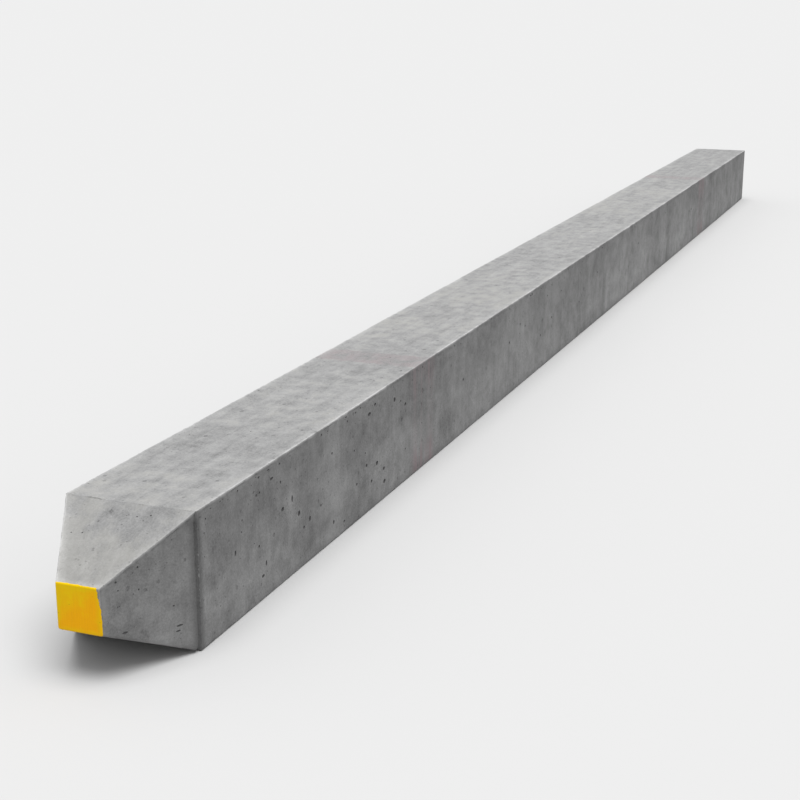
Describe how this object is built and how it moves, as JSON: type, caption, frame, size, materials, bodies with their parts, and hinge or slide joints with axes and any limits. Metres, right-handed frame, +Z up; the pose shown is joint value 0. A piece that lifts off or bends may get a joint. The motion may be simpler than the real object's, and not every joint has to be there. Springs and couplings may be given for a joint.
{
  "type": "concrete mini pile",
  "caption": "Square precast concrete driven pile with a truncated pyramid tip painted yellow on its flat end, cast in one piece and stored lying on its underside.",
  "frame": {"origin": "on the underside, half way along the pile and half way across it", "axes": "+X along the pile from the tip to the head, +Y across it, +Z up out of the open trowelled face"},
  "size_m": [6, 0.25, 0.25],
  "materials": {
    "concrete": "bare grey cast concrete, fine pinholes and mould marks, trowelled on top",
    "marking_paint": "one brushed coat of semi-matt yellow marking paint on the flat end of the tip"
  },
  "bodies": {
    "root": {"mini_pile": "concrete"}
  },
  "joints": []
}
